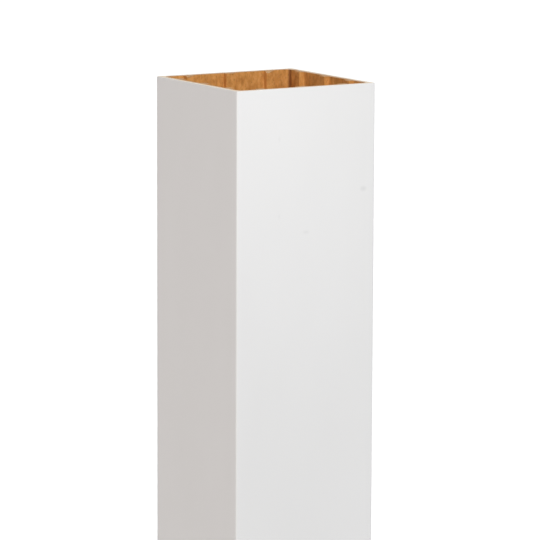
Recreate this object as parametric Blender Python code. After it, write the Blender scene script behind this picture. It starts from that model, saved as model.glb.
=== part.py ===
"""Railing post sleeve: a square, hollow composite sleeve with lengthwise ribs inside.

Run it with: blender --background --python part.py

Units are metres and +Z is up. The sleeve stands upright on its lower end, and the
origin is the middle of that end. It is one extrusion, sawn square at both ends: a white
skin over a wood-fibre core that bears on a timber post by its inner ribs.
"""

import math

import bmesh
import bpy
from mathutils import Matrix, Vector

# The timber post that the sleeve slides over, and the play between it and the ribs
POST_WIDTH = 0.0889
POST_CLEARANCE = 0.00245

# The sleeve
LENGTH = 0.991
WALL = 0.0056
ARRIS_RADIUS = 0.0012
INNER_CORNER_RADIUS = 0.0015

# Ribs, alike on all four inner walls: one in the middle and one towards each corner.
# The widths are those of the foot, and each side leans in by the draft up to the crest.
RIB_HEIGHT = 0.0040
RIB_DRAFT = 0.0002
MIDDLE_RIB_WIDTH = 0.0084
SIDE_RIB_WIDTH = 0.0074
SIDE_RIB_FROM_CORNER = 0.0176
RIB_CREST_RADIUS = 0.0005
RIB_ROOT_RADIUS = 0.0005

# Facets in each rounded corner of the profile
ARC_SEGMENTS = 4
SMOOTH_ANGLE = math.radians(35.0)

# Widths that follow from the sizes above
CLEAR_WIDTH = POST_WIDTH + 2.0 * POST_CLEARANCE
INNER_WIDTH = CLEAR_WIDTH + 2.0 * RIB_HEIGHT
OUTER_WIDTH = INNER_WIDTH + 2.0 * WALL

# Looks: linear colour, roughness
SKIN_WHITE = ((0.80, 0.80, 0.79, 1.0), 0.42)
CORE_TAN = ((0.44, 0.21, 0.075, 1.0), 0.78)


def clear_scene():
    """Remove every object that the scene starts with."""
    for item in list(bpy.data.objects):
        bpy.data.objects.remove(item, do_unlink=True)


def principled(name, look):
    """Make a non-metallic material from a colour and a roughness."""
    colour, roughness = look
    material = bpy.data.materials.new(name)
    material.use_nodes = True
    shader = material.node_tree.nodes["Principled BSDF"]
    shader.inputs["Base Color"].default_value = colour
    shader.inputs["Roughness"].default_value = roughness
    shader.inputs["Metallic"].default_value = 0.0
    material.diffuse_color = colour
    return material


def rounded_outline(corners):
    """Turn corners, each a point and a radius, into a closed outline with arcs."""
    outline = []
    for index, (here, radius) in enumerate(corners):
        back = (corners[index - 1][0] - here).normalized()
        ahead = (corners[(index + 1) % len(corners)][0] - here).normalized()
        half_angle = 0.5 * back.angle(ahead)
        centre = here + (back + ahead).normalized() * radius / math.sin(half_angle)
        spoke = here + back * radius / math.tan(half_angle) - centre
        sweep = math.copysign(math.pi - 2.0 * half_angle, ahead.cross(back))
        for step in range(ARC_SEGMENTS + 1):
            outline.append(centre + Matrix.Rotation(sweep * step / ARC_SEGMENTS, 2) @ spoke)
    return outline


def on_four_sides(corners):
    """Repeat the corners of one side of the profile for all four sides."""
    turned = []
    for side in range(4):
        turn = Matrix.Rotation(side * 0.5 * math.pi, 2)
        turned += [(turn @ point, radius) for point, radius in corners]
    return turned


def outer_outline():
    """The square outside of the profile, with its arrises just broken."""
    half = 0.5 * OUTER_WIDTH
    return rounded_outline(on_four_sides([(Vector((-half, -half)), ARRIS_RADIUS)]))


def rib_places():
    """Each rib of one wall: its middle, measured from the wall's middle, and the width of its foot."""
    side = 0.5 * INNER_WIDTH - SIDE_RIB_FROM_CORNER
    return [(-side, SIDE_RIB_WIDTH), (0.0, MIDDLE_RIB_WIDTH), (side, SIDE_RIB_WIDTH)]


def inner_outline():
    """The hollow of the profile: a square with three ribs standing in from each wall."""
    half = 0.5 * INNER_WIDTH
    crest = RIB_HEIGHT - half
    corners = [(Vector((-half, -half)), INNER_CORNER_RADIUS)]
    for middle, width in rib_places():
        left = middle - 0.5 * width
        right = middle + 0.5 * width
        corners += [
            (Vector((left, -half)), RIB_ROOT_RADIUS),
            (Vector((left + RIB_DRAFT, crest)), RIB_CREST_RADIUS),
            (Vector((right - RIB_DRAFT, crest)), RIB_CREST_RADIUS),
            (Vector((right, -half)), RIB_ROOT_RADIUS),
        ]
    return rounded_outline(on_four_sides(corners))


def add_loop(shape, outline):
    """Add a closed loop of edges on the ground plane and return its edges."""
    points = [shape.verts.new((point.x, point.y, 0.0)) for point in outline]
    pairs = zip(points, points[1:] + points[:1])
    return [shape.edges.new(pair) for pair in pairs]


def extrude_profile(length):
    """Fill the ring between the two outlines and extrude it upwards into a closed solid."""
    shape = bmesh.new()
    edges = add_loop(shape, outer_outline()) + add_loop(shape, inner_outline())
    bmesh.ops.triangle_fill(shape, use_beauty=True, edges=edges, normal=(0.0, 0.0, 1.0))
    lifted = bmesh.ops.extrude_face_region(shape, geom=shape.faces[:], use_keep_orig=True)
    top = [item for item in lifted["geom"] if isinstance(item, bmesh.types.BMVert)]
    bmesh.ops.translate(shape, vec=(0.0, 0.0, length), verts=top)
    bmesh.ops.recalc_face_normals(shape, faces=shape.faces[:])
    return shape


def is_skin(face):
    """Say whether a face belongs to the outside of the sleeve, which the white skin covers."""
    middle = face.calc_center_median()
    reach = max(abs(middle.x), abs(middle.y))
    return abs(face.normal.z) < 0.5 and reach > 0.5 * INNER_WIDTH


def make_post_sleeve():
    """Build the sleeve: skin material outside, core material inside and on the sawn ends."""
    shape = extrude_profile(LENGTH)
    for face in shape.faces:
        face.material_index = 0 if is_skin(face) else 1
    mesh = bpy.data.meshes.new("post_sleeve")
    shape.to_mesh(mesh)
    shape.free()
    mesh.materials.append(principled("white_skin", SKIN_WHITE))
    mesh.materials.append(principled("wood_fibre_core", CORE_TAN))
    mesh.shade_smooth()
    mesh.set_sharp_from_angle(angle=SMOOTH_ANGLE)
    sleeve = bpy.data.objects.new("post_sleeve", mesh)
    bpy.context.scene.collection.objects.link(sleeve)
    return sleeve


clear_scene()
make_post_sleeve()
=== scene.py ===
"""Looks of the railing post sleeve: a white satin skin over a ribbed wood-fibre core."""

import math

import bmesh
import bpy
from mathutils import Matrix, Vector, noise


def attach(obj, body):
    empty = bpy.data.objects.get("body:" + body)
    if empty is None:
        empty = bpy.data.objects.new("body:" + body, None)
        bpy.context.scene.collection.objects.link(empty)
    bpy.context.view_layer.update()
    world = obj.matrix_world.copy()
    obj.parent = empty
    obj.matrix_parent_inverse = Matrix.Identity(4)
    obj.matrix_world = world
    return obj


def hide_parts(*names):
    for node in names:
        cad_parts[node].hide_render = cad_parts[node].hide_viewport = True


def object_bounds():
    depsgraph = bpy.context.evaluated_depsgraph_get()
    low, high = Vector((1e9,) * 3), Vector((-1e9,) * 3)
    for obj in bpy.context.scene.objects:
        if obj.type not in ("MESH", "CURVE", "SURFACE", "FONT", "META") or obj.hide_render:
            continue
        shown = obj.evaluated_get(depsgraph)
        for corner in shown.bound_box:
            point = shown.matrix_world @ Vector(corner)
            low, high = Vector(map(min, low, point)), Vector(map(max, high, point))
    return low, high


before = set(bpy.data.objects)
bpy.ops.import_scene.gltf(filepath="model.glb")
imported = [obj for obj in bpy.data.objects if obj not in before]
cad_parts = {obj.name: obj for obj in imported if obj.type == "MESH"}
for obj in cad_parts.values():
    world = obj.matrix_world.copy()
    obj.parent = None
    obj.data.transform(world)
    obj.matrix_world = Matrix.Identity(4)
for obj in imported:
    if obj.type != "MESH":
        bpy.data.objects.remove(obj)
CAD_LOW, CAD_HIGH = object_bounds()

# Sizes of the sleeve in metres, as its solid has them
WIDTH = CAD_HIGH.x - CAD_LOW.x
LENGTH = CAD_HIGH.z - CAD_LOW.z
WALL = 0.0056
ARRIS_RADIUS = 0.0012
INNER_CORNER_RADIUS = 0.0015
RIB_HEIGHT = 0.0040
RIB_DRAFT = 0.0002
MIDDLE_RIB_WIDTH = 0.0084
SIDE_RIB_WIDTH = 0.0074
SIDE_RIB_FROM_CORNER = 0.0176
RIB_CREST_RADIUS = 0.0005
RIB_ROOT_RADIUS = 0.0005
INNER_WIDTH = WIDTH - 2.0 * WALL

# The skin, which is thicker in the corners, and the fine gap that keeps the core's mesh off it
SKIN = 0.0034
SKIN_INNER_RADIUS = 0.0055
SKIN_TO_CORE = 0.00002

# How the saw left the ends: the core a little back, and the skin's outer edge broken. A ring of
# points lies part of the way up the broken edge, at this share of its height.
CORE_SET_BACK = 0.00012
EDGE_BREAK = 0.0002
EDGE_BREAK_SHARE = 0.4

# Fineness of the meshes: steps in an arc, longest side of each outline, the skin's even steps in
# height, the core's steps near the ends and between, and the angle from which an edge is sharp
ARC_STEPS = 5
SKIN_OUTLINE_STEP = 0.004
CORE_OUTLINE_STEP = 0.0016
SKIN_LEVELS = 48
END_ZONE = 0.060
END_STEP = 0.0015
MIDDLE_STEP = 0.022
SKIN_SHARP_ANGLE = math.radians(30.0)
CORE_SHARP_ANGLE = math.radians(40.0)

# Waviness of the extruded core: height of the waves and their size across and along the sleeve
WAVE_HEIGHT = 0.00022
WAVE_ACROSS = 0.006
WAVE_ALONG = 0.018
GRAIN_HEIGHT = 0.00007
GRAIN_SIZE = 0.0022

# Painted shade down each inner corner of the core, on the walls that face along X: a dark streak
# where the corner lies in shade. How far its middle lies from the corner along the wall, its half
# width across and along the wall, its strength, and the share of its size with the full strength
CORNER_SHADE_OFFSET = 0.0016
CORNER_SHADE_SIZE = (0.0014, 0.0034)
CORNER_SHADE_STRENGTH = 0.75
CORNER_SHADE_FULL = 0.2
ENDLESS = 1000.0

# Small chips at the top end of two ribs: place, radius and greatest depth of each one. The core's
# surface below them is drawn down with them over CHIP_REACH.
CHIPS = (
    (Vector((0.0310, 0.0469)), 0.0026, 0.0016),
    (Vector((-0.0350, 0.0469)), 0.0023, 0.0013),
)
CHIP_REACH = 0.006

# Faint grey marks on the front face: place across and below the top, half width and half height,
# and strength. MARK_DEPTH is how far they reach into the skin, and MARK_FULL the share of their
# size that has the full strength.
MARKS = (
    ((-0.0224, 0.0350), (0.0012, 0.0028), 0.08),
    ((-0.0223, 0.0895), (0.0012, 0.0026), 0.08),
    ((-0.0002, 0.1019), (0.0034, 0.0019), 0.12),
    ((0.0470, 0.0743), (0.0034, 0.0025), 0.20),
)
MARK_DEPTH = 0.002
MARK_FULL = 0.1

# Linear colours. In a ramp, each one belongs to the value of a noise.
WHITE = (1.0, 1.0, 1.0)
SKIN_WHITES = (
    (0.3, (0.80, 0.80, 0.795)),
    (0.7, (0.83, 0.83, 0.828)),
)
SAWN_CREAMS = (
    (0.35, (0.77, 0.65, 0.49)),
    (0.5, (0.86, 0.74, 0.58)),
    (0.65, (0.93, 0.84, 0.70)),
)
CORE_TANS = (
    (0.30, (0.52, 0.214, 0.044)),
    (0.5, (0.69, 0.314, 0.073)),
    (0.70, (0.84, 0.418, 0.122)),
)
SAWN_TANS = (
    (0.3, (0.40, 0.20, 0.08)),
    (0.5, (0.55, 0.30, 0.13)),
    (0.7, (0.66, 0.42, 0.22)),
)
MARK_GREY = (0.40, 0.40, 0.40)
PALE_FLECK = (0.78, 0.42, 0.17)
DARK_FLECK = (0.22, 0.075, 0.02)
# Colour of the painted shade in the core's inner corners
CORNER_SHADE_BROWN = (0.20, 0.070, 0.02)

# Camera, from the photograph: the near top corner shows at CORNER_PIXEL of the square image, and
# it lies CORNER_DEPTH metres ahead of the camera
IMAGE_PIXELS = 540.0
FOCAL_PIXELS = 3696.1
CORNER_PIXEL = (237.16, 91.65)
CORNER_DEPTH = 2.5404
CAMERA_AZIMUTH = math.radians(31.209)
CAMERA_PITCH = math.radians(9.161)
CAMERA_ROLL = math.radians(-0.214)
SENSOR_MM = 36.0

# Floor: a disc wide enough to fill the view, which glows a little
FLOOR_RADIUS = 60.0
FLOOR_SIDES = 96
FLOOR_PALE = (0.95, 0.95, 0.95)
FLOOR_GLOW = 0.30

# Light of the room from its left (-X) and its right (+X), and by what share it is stronger from
# below and weaker from above. It turns from one to the other over a band on both sides of level.
ROOM_LEFT = (0.580, 0.523, 0.491)
ROOM_RIGHT = (0.475, 0.499, 0.518)
ROOM_LEAN = 0.34
ROOM_LEAN_BAND = 0.2

# Soft suns: name, strength, colour, and azimuth, elevation and spread in degrees
SUNS = (
    ("overhead", 1.78, (0.970, 1.007, 1.030), -22.0, 47.0, 25.0),
    ("back_fill", 0.45, WHITE, 115.0, 35.0, 40.0),
)

# Small soft light close to the front of the top end
SOFTBOX_WATTS = 0.106
SOFTBOX_PLACE = (-0.08, -0.45, 1.2)
SOFTBOX_TARGET = (-0.05, -0.06, 0.97)
SOFTBOX_SIZE = 0.15
SOFTBOX_SPREAD = math.radians(90.0)


def rounded_outline(corners):
    """Turn corners, each a point and a radius, into a closed outline with arcs."""
    outline = []
    for index, (here, radius) in enumerate(corners):
        back = (corners[index - 1][0] - here).normalized()
        ahead = (corners[(index + 1) % len(corners)][0] - here).normalized()
        half_angle = 0.5 * back.angle(ahead)
        centre = here + (back + ahead).normalized() * radius / math.sin(half_angle)
        spoke = here + back * radius / math.tan(half_angle) - centre
        sweep = math.copysign(math.pi - 2.0 * half_angle, ahead.cross(back))
        for step in range(ARC_STEPS + 1):
            outline.append(centre + Matrix.Rotation(sweep * step / ARC_STEPS, 2) @ spoke)
    return outline


def on_four_sides(corners):
    """Repeat the corners of one side of the profile for all four sides."""
    turned = []
    for side in range(4):
        turn = Matrix.Rotation(side * 0.5 * math.pi, 2)
        turned += [(turn @ point, radius) for point, radius in corners]
    return turned


def square_outline(width, radius):
    """A square outline with rounded corners."""
    half = 0.5 * width
    return rounded_outline(on_four_sides([(Vector((-half, -half)), radius)]))


def rib_places():
    """Each rib of one wall: its middle, measured from the wall's middle, and its foot's width."""
    side = 0.5 * INNER_WIDTH - SIDE_RIB_FROM_CORNER
    return [(-side, SIDE_RIB_WIDTH), (0.0, MIDDLE_RIB_WIDTH), (side, SIDE_RIB_WIDTH)]


def ribbed_outline():
    """The hollow of the profile: a square with three ribs standing in from each wall."""
    half = 0.5 * INNER_WIDTH
    crest = RIB_HEIGHT - half
    corners = [(Vector((-half, -half)), INNER_CORNER_RADIUS)]
    for middle, width in rib_places():
        left = middle - 0.5 * width
        right = middle + 0.5 * width
        corners += [
            (Vector((left, -half)), RIB_ROOT_RADIUS),
            (Vector((left + RIB_DRAFT, crest)), RIB_CREST_RADIUS),
            (Vector((right - RIB_DRAFT, crest)), RIB_CREST_RADIUS),
            (Vector((right, -half)), RIB_ROOT_RADIUS),
        ]
    return rounded_outline(on_four_sides(corners))


def divided(outline, longest):
    """Add points to an outline's long sides, so that no side is longer than this."""
    points = []
    for index, here in enumerate(outline):
        ahead = outline[(index + 1) % len(outline)] - here
        parts = max(1, math.ceil(ahead.length / longest))
        points += [here + ahead * (part / parts) for part in range(parts)]
    return points


def inward_normals(outline):
    """For each point of an outline that runs anticlockwise, the unit vector to its left."""
    normals = []
    for index in range(len(outline)):
        along = (outline[(index + 1) % len(outline)] - outline[index - 1]).normalized()
        normals.append(Vector((-along.y, along.x)))
    return normals


def skin_levels():
    """Heights of the skin's cross-sections: three in each broken edge, and even ones between."""
    between = LENGTH - 2.0 * EDGE_BREAK
    even = [EDGE_BREAK + between * step / SKIN_LEVELS for step in range(SKIN_LEVELS + 1)]
    part_way = EDGE_BREAK_SHARE * EDGE_BREAK
    return [0.0, part_way] + even + [LENGTH - part_way, LENGTH]


def core_levels():
    """Heights of the core's cross-sections: close together near both ends, wide apart between."""
    steps = round(END_ZONE / END_STEP)
    near = [END_ZONE * step / steps for step in range(steps)]
    between = LENGTH - 2.0 * END_ZONE
    count = round(between / MIDDLE_STEP)
    middle = [END_ZONE + between * step / count for step in range(count + 1)]
    return near + middle + [LENGTH - height for height in reversed(near)]


def wavy(point, inward, height):
    """Move a point of the core's inner surface by the waviness of the extrusion."""
    place = Vector((point.x / WAVE_ACROSS, point.y / WAVE_ACROSS, height / WAVE_ALONG))
    long_wave = noise.noise(place)
    grain = noise.noise(Vector((point.x, point.y, height)) / GRAIN_SIZE)
    shift = 0.5 * WAVE_HEIGHT * (long_wave - 1.0) + 0.5 * GRAIN_HEIGHT * grain
    return point + inward * shift


def chipped(point, height, top):
    """Lower a height of the core's surface where a chip has broken the top end away."""
    share = max(0.0, 1.0 - (top - height) / CHIP_REACH)
    for centre, radius, depth in CHIPS:
        off = min(1.0, (point - centre).length / radius)
        height -= depth * share * (1.0 - off * off)
    return height


def add_rings(shape, outline, heights, moved=None):
    """Add one ring of points at each height. moved(index, point, height) gives a point's place."""
    rings = []
    for height in heights:
        ring = []
        for index, point in enumerate(outline):
            place = moved(index, point, height) if moved else (point.x, point.y, height)
            ring.append(shape.verts.new(place))
        rings.append(ring)
    return rings


def join_rings(shape, rings, outward):
    """Join neighbouring rings by quads that face away from the axis, or towards it."""
    for low, high in zip(rings, rings[1:]):
        for index in range(len(low)):
            after = (index + 1) % len(low)
            quad = [low[index], low[after], high[after], high[index]]
            shape.faces.new(quad if outward else quad[::-1])


def cap_between(shape, outer_ring, inner_ring, normal):
    """Fill the flat band between two rings and give it the second material, the sawn one."""
    edges = []
    for ring in (outer_ring, inner_ring):
        for index in range(len(ring)):
            edges.append(shape.edges.get((ring[index - 1], ring[index])))
    filled = bmesh.ops.triangle_fill(shape, use_beauty=True, edges=edges, normal=normal)
    for item in filled["geom"]:
        if isinstance(item, bmesh.types.BMFace):
            item.material_index = 1


def cap_ends(shape, outer, inner):
    """Fill the sawn ends between the outer and the inner rings of a tube."""
    cap_between(shape, outer[-1], inner[-1], (0.0, 0.0, 1.0))
    cap_between(shape, outer[0], inner[0], (0.0, 0.0, -1.0))


def finish_piece(shape, name, materials, sharp_angle):
    """Turn a bmesh into a shaded object with its materials."""
    bmesh.ops.recalc_face_normals(shape, faces=shape.faces[:])
    mesh = bpy.data.meshes.new(name)
    shape.to_mesh(mesh)
    shape.free()
    for material in materials:
        mesh.materials.append(material)
    mesh.shade_smooth()
    mesh.set_sharp_from_angle(angle=sharp_angle)
    piece = bpy.data.objects.new(name, mesh)
    bpy.context.scene.collection.objects.link(piece)
    return piece


def make_skin(extruded, sawn):
    """The white skin: a thin square tube with its arrises and sawn edges just broken."""
    shape = bmesh.new()
    outside = divided(square_outline(WIDTH, ARRIS_RADIUS), SKIN_OUTLINE_STEP)
    inside = square_outline(WIDTH - 2.0 * SKIN, SKIN_INNER_RADIUS)
    normals = inward_normals(outside)

    def moved(index, point, height):
        end = min(height, LENGTH - height)
        back = max(0.0, EDGE_BREAK - end)
        inset = back * back / EDGE_BREAK
        place = point + normals[index] * inset
        return (place.x, place.y, height)

    outer = add_rings(shape, outside, skin_levels(), moved)
    join_rings(shape, outer, outward=True)
    inner = add_rings(shape, inside, [0.0, LENGTH])
    join_rings(shape, inner, outward=False)
    cap_ends(shape, outer, inner)
    return finish_piece(shape, "sleeve_skin", [extruded, sawn], SKIN_SHARP_ANGLE)


def make_core(extruded, sawn):
    """The wood-fibre core: the ribbed inside, bonded to the skin, with sawn ends."""
    shape = bmesh.new()
    inside = divided(ribbed_outline(), CORE_OUTLINE_STEP)
    width = WIDTH - 2.0 * SKIN - 2.0 * SKIN_TO_CORE
    outside = divided(square_outline(width, SKIN_INNER_RADIUS), CORE_OUTLINE_STEP)
    normals = inward_normals(inside)
    low = CORE_SET_BACK
    high = LENGTH - CORE_SET_BACK

    def moved(index, point, height):
        place = wavy(point, normals[index], height)
        return (place.x, place.y, chipped(point, min(max(height, low), high), high))

    inner = add_rings(shape, inside, core_levels(), moved)
    join_rings(shape, inner, outward=False)
    outer = add_rings(shape, outside, [low, high])
    join_rings(shape, outer, outward=True)
    cap_ends(shape, outer, inner)
    return finish_piece(shape, "sleeve_core", [extruded, sawn], CORE_SHARP_ANGLE)


class Nodes:
    """A few lines of help for building a node tree."""

    def __init__(self, tree):
        self.nodes = tree.nodes
        self.links = tree.links

    def link(self, source, target):
        """Lead an output into an input."""
        self.links.new(source, target)

    def output(self, kind, name):
        """Add a node that needs no input and give its output of this name."""
        return self.nodes.new(kind).outputs[name]

    def spread(self, factor, low, high, start=0.0, end=1.0):
        """Map a factor between start and end to a number between low and high."""
        node = self.nodes.new("ShaderNodeMapRange")
        node.inputs["From Min"].default_value = start
        node.inputs["From Max"].default_value = end
        node.inputs["To Min"].default_value = low
        node.inputs["To Max"].default_value = high
        self.link(factor, node.inputs["Value"])
        return node.outputs["Result"]

    def mix(self, factor, first, second, kind="MIX"):
        """Mix two colours by a factor. Each of the three is a value or an output."""
        node = self.nodes.new("ShaderNodeMix")
        node.data_type = "RGBA"
        node.blend_type = kind
        if isinstance(factor, float):
            node.inputs["Factor"].default_value = factor
        else:
            self.link(factor, node.inputs["Factor"])
        for value, socket in ((first, node.inputs["A"]), (second, node.inputs["B"])):
            if isinstance(value, tuple):
                socket.default_value = (*value, 1.0)
            else:
                self.link(value, socket)
        return node.outputs["Result"]


class Shader(Nodes):
    """A procedural material, made from the object's coordinates."""

    def __init__(self, name):
        self.material = bpy.data.materials.new(name)
        self.material.use_nodes = True
        super().__init__(self.material.node_tree)
        self.surface = self.nodes["Principled BSDF"]
        self.where = self.output("ShaderNodeTexCoord", "Object")

    def mirrored(self):
        """The coordinates with their signs dropped, so that all four corners are one."""
        node = self.nodes.new("ShaderNodeVectorMath")
        node.operation = "ABSOLUTE"
        self.link(self.where, node.inputs[0])
        return node.outputs["Vector"]

    def patch(self, where, centre, size, strength, full):
        """A soft patch: an ellipsoid of this half size, of this strength in its middle.

        It has its full strength out to the share full of its size, and none past its surface.
        """
        node = self.nodes.new("ShaderNodeMapping")
        node.vector_type = "TEXTURE"
        node.inputs["Location"].default_value = centre
        node.inputs["Scale"].default_value = size
        self.link(where, node.inputs["Vector"])
        off = self.nodes.new("ShaderNodeVectorMath")
        off.operation = "LENGTH"
        self.link(node.outputs["Vector"], off.inputs[0])
        return self.spread(off.outputs["Value"], strength, 0.0, start=full)

    def noise(self, cells, detail=3.0, roughness=0.55, distortion=0.0):
        """Noise with this many cells in a metre along each axis."""
        scaled = self.nodes.new("ShaderNodeMapping")
        scaled.inputs["Scale"].default_value = cells
        self.link(self.where, scaled.inputs["Vector"])
        node = self.nodes.new("ShaderNodeTexNoise")
        node.inputs["Scale"].default_value = 1.0
        node.inputs["Detail"].default_value = detail
        node.inputs["Roughness"].default_value = roughness
        node.inputs["Distortion"].default_value = distortion
        self.link(scaled.outputs["Vector"], node.inputs["Vector"])
        return node.outputs["Fac"]

    def ramp(self, factor, stops):
        """A colour ramp from (place, colour) stops."""
        node = self.nodes.new("ShaderNodeValToRGB")
        ramp = node.color_ramp
        while len(ramp.elements) < len(stops):
            ramp.elements.new(0.5)
        for element, (place, colour) in zip(ramp.elements, stops):
            element.position = place
            element.color = (*colour, 1.0)
        self.link(factor, node.inputs["Fac"])
        return node.outputs["Color"]

    def bump(self, height, depth, strength, under=None):
        """A bump of this depth in metres, on top of another one."""
        node = self.nodes.new("ShaderNodeBump")
        node.inputs["Distance"].default_value = depth
        node.inputs["Strength"].default_value = strength
        self.link(height, node.inputs["Height"])
        if under:
            self.link(under, node.inputs["Normal"])
        return node.outputs["Normal"]

    def lead(self, name, source):
        """Lead an output into one of the surface's inputs."""
        self.link(source, self.surface.inputs[name])

    def fix(self, name, value):
        """Set one of the surface's inputs to the same value all over."""
        self.surface.inputs[name].default_value = value


def skin_material():
    """Smooth white skin with a satin shine and faint lengthwise die lines."""
    look = Shader("white_skin")
    cloud = look.noise(cells=(9.0, 9.0, 4.0))
    colour = look.ramp(cloud, SKIN_WHITES)
    for (across, below), (wide, tall), strength in MARKS:
        place = (across, CAD_LOW.y, CAD_HIGH.z - below)
        mark = look.patch(look.where, place, (wide, MARK_DEPTH, tall), strength, MARK_FULL)
        colour = look.mix(mark, colour, MARK_GREY)
    lines = look.noise(cells=(700.0, 700.0, 6.0), detail=2.0)
    grain = look.noise(cells=(2500.0, 2500.0, 2500.0), detail=1.0)
    normal = look.bump(lines, depth=0.00001, strength=0.5)
    normal = look.bump(grain, depth=0.00001, strength=0.3, under=normal)
    look.lead("Base Color", colour)
    look.lead("Roughness", look.spread(cloud, low=0.40, high=0.50, start=0.3, end=0.7))
    look.lead("Normal", normal)
    look.fix("IOR", 1.46)
    return look.material


def sawn_skin_material():
    """The skin's sawn edge: matt cream, unevenly dusted by the saw, with fine saw marks."""
    look = Shader("sawn_skin")
    saw_marks = look.noise(cells=(400.0, 2500.0, 2500.0), detail=2.0)
    dust = look.noise(cells=(220.0, 220.0, 220.0), detail=2.0)
    look.lead("Base Color", look.ramp(dust, SAWN_CREAMS))
    look.lead("Normal", look.bump(saw_marks, depth=0.00005, strength=0.6))
    look.fix("Roughness", 0.6)
    return look.material


def core_material():
    """Extruded wood-fibre composite: mottled tan with fibre flecks drawn out lengthwise."""
    look = Shader("wood_fibre_core")
    mottle = look.noise(cells=(260.0, 260.0, 170.0), detail=4.0, roughness=0.6)
    fleck = look.noise(cells=(1500.0, 1500.0, 420.0), detail=2.0, distortion=0.4)
    pale = look.spread(fleck, low=0.0, high=0.55, start=0.60, end=0.72)
    dark = look.spread(fleck, low=0.6, high=0.0, start=0.28, end=0.40)
    # Painted shade: a dark brown patch down each inner corner of the core, where the corner lies
    # in shade
    corner = 0.5 * INNER_WIDTH
    place = (corner, corner - CORNER_SHADE_OFFSET, 0.0)
    size = (*CORNER_SHADE_SIZE, ENDLESS)
    corner_shade = look.patch(look.mirrored(), place, size, CORNER_SHADE_STRENGTH, CORNER_SHADE_FULL)
    colour = look.mix(pale, look.ramp(mottle, CORE_TANS), PALE_FLECK)
    colour = look.mix(dark, colour, DARK_FLECK)
    colour = look.mix(corner_shade, colour, CORNER_SHADE_BROWN)
    normal = look.bump(mottle, depth=0.00035, strength=0.6)
    normal = look.bump(fleck, depth=0.00012, strength=0.6, under=normal)
    look.lead("Base Color", colour)
    look.lead("Roughness", look.spread(mottle, low=0.62, high=0.82, start=0.3, end=0.7))
    look.lead("Normal", normal)
    return look.material


def sawn_core_material():
    """The core's sawn ends: paler and dusty, with fibre ends and saw marks."""
    look = Shader("sawn_core")
    fibre = look.noise(cells=(900.0, 900.0, 900.0))
    saw_marks = look.noise(cells=(300.0, 1800.0, 1800.0), detail=2.0)
    normal = look.bump(saw_marks, depth=0.0001, strength=0.7)
    normal = look.bump(fibre, depth=0.0001, strength=0.7, under=normal)
    look.lead("Base Color", look.ramp(fibre, SAWN_TANS))
    look.lead("Normal", normal)
    look.fix("Roughness", 0.85)
    return look.material


def make_floor():
    """A plain pale floor. The room stands in for the soft light that it would throw back."""
    shape = bmesh.new()
    bmesh.ops.create_circle(shape, cap_ends=True, segments=FLOOR_SIDES, radius=FLOOR_RADIUS)
    mesh = bpy.data.meshes.new("floor")
    shape.to_mesh(mesh)
    shape.free()
    look = Shader("pale_floor")
    look.fix("Base Color", (*FLOOR_PALE, 1.0))
    look.fix("Roughness", 0.9)
    look.fix("Specular IOR Level", 0.0)
    look.fix("Emission Color", (*WHITE, 1.0))
    look.fix("Emission Strength", FLOOR_GLOW)
    mesh.materials.append(look.material)
    floor = bpy.data.objects.new("floor", mesh)
    floor.visible_diffuse = False
    bpy.context.scene.collection.objects.link(floor)


def make_world():
    """A studio room that lights from its left and right, and is plain white where it is seen.

    More of its light comes from below than from above, as a pale floor throws it back.
    """
    world = bpy.data.worlds.new("studio")
    world.use_nodes = True
    bpy.context.scene.world = world
    room = Nodes(world.node_tree)
    towards = room.nodes.new("ShaderNodeSeparateXYZ")
    room.link(room.output("ShaderNodeTexCoord", "Generated"), towards.inputs["Vector"])
    across = room.spread(towards.outputs["X"], low=0.0, high=1.0, start=-1.0)
    height = room.spread(
        towards.outputs["Z"],
        low=1.0 + ROOM_LEAN,
        high=1.0 - ROOM_LEAN,
        start=-ROOM_LEAN_BAND,
        end=ROOM_LEAN_BAND,
    )
    light = room.mix(1.0, room.mix(across, ROOM_LEFT, ROOM_RIGHT), height, "MULTIPLY")
    seen = room.output("ShaderNodeLightPath", "Is Camera Ray")
    room.link(room.mix(seen, light, WHITE), room.nodes["Background"].inputs["Color"])


def aim(item, place, target):
    """Place a light and turn its -Z axis to a target."""
    item.location = place
    item.rotation_euler = (Vector(target) - Vector(place)).to_track_quat("-Z", "Y").to_euler()


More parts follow.
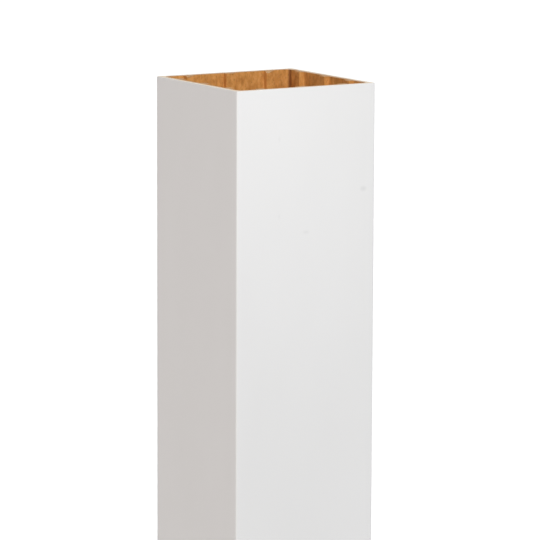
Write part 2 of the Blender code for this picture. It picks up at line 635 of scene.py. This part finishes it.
def make_sun(name, strength, colour, azimuth, elevation, spread):
    """A soft light from far away. Azimuth 0 is in front, at -Y, and 90 degrees is at +X."""
    data = bpy.data.lights.new(name, "SUN")
    data.energy = strength
    data.color = colour
    data.angle = math.radians(spread)
    sun = bpy.data.objects.new(name, data)
    turn = math.radians(azimuth)
    lift = math.radians(elevation)
    level = math.cos(lift)
    aim(sun, (math.sin(turn) * level, -math.cos(turn) * level, math.sin(lift)), (0.0, 0.0, 0.0))
    bpy.context.scene.collection.objects.link(sun)


def make_softbox():
    """A small square soft light, which the camera doesn't see."""
    data = bpy.data.lights.new("near_light", "AREA")
    data.shape = "SQUARE"
    data.size = SOFTBOX_SIZE
    data.energy = SOFTBOX_WATTS
    data.spread = SOFTBOX_SPREAD
    box = bpy.data.objects.new("near_light", data)
    box.visible_camera = False
    aim(box, SOFTBOX_PLACE, SOFTBOX_TARGET)
    bpy.context.scene.collection.objects.link(box)


def make_camera():
    """Place the camera so that the near top corner falls on its pixel of the photograph."""
    sine = math.sin(CAMERA_AZIMUTH)
    cosine = math.cos(CAMERA_AZIMUTH)
    level = math.cos(CAMERA_PITCH)
    ahead = Vector((level * sine, level * cosine, -math.sin(CAMERA_PITCH)))
    across = Vector((cosine, -sine, 0.0))
    down = ahead.cross(across)
    roll = Matrix.Rotation(CAMERA_ROLL, 3, ahead)
    across = roll @ across
    down = roll @ down
    data = bpy.data.cameras.new("camera")
    data.sensor_width = SENSOR_MM
    data.lens = SENSOR_MM * FOCAL_PIXELS / IMAGE_PIXELS
    camera = bpy.data.objects.new("camera", data)
    corner = Vector((CAD_LOW.x, CAD_LOW.y, CAD_HIGH.z))
    right_by = (CORNER_PIXEL[0] - 0.5 * IMAGE_PIXELS) / FOCAL_PIXELS
    down_by = (CORNER_PIXEL[1] - 0.5 * IMAGE_PIXELS) / FOCAL_PIXELS
    place = corner - CORNER_DEPTH * (right_by * across + down_by * down + ahead)
    turn = Matrix((across, -down, -ahead)).transposed()
    camera.matrix_world = Matrix.Translation(place) @ turn.to_4x4()
    bpy.context.scene.collection.objects.link(camera)
    bpy.context.scene.camera = camera


bpy.context.scene.view_settings.view_transform = "Standard"
make_camera()
skin = make_skin(skin_material(), sawn_skin_material())
core = make_core(core_material(), sawn_core_material())
for piece, slot in ((skin, "white_skin"), (core, "wood_fibre_core")):
    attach(piece, "root")
    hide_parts("post_sleeve")
make_floor()
make_world()
for sun in SUNS:
    make_sun(*sun)
make_softbox()
